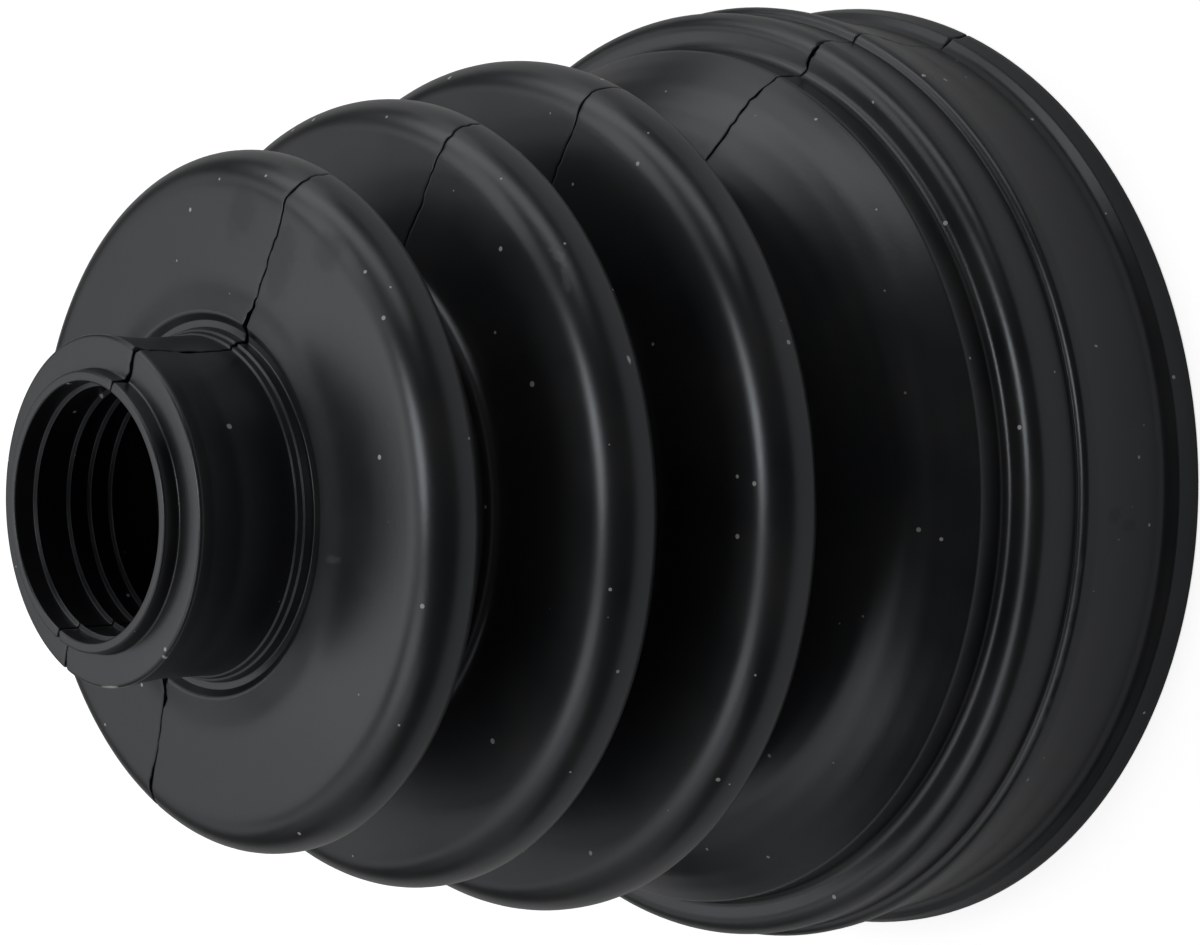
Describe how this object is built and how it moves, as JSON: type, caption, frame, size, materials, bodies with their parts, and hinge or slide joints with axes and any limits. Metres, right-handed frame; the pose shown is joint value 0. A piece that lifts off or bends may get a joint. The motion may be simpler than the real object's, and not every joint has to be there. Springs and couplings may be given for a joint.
{
  "type": "split rubber bellows boot",
  "caption": "Split moulded rubber bellows boot for a drive shaft joint: two half shells with stepped convolutions, a clamp seat and sealing ribs at each end",
  "frame": {"origin": "centre of the large mouth's end face, which is the plane the boot stands on", "axes": "+Z runs along the boot's axis from the large mouth to the small mouth, the two half shells part on the XZ plane, and +Y points from the front half to the back half"},
  "size_m": [0.0898, 0.0898, 0.088],
  "materials": {
    "boot_rubber": "satin black moulded rubber"
  },
  "bodies": {
    "root": {"front_half_shell": "boot_rubber", "back_half_shell": "boot_rubber"}
  },
  "joints": []
}
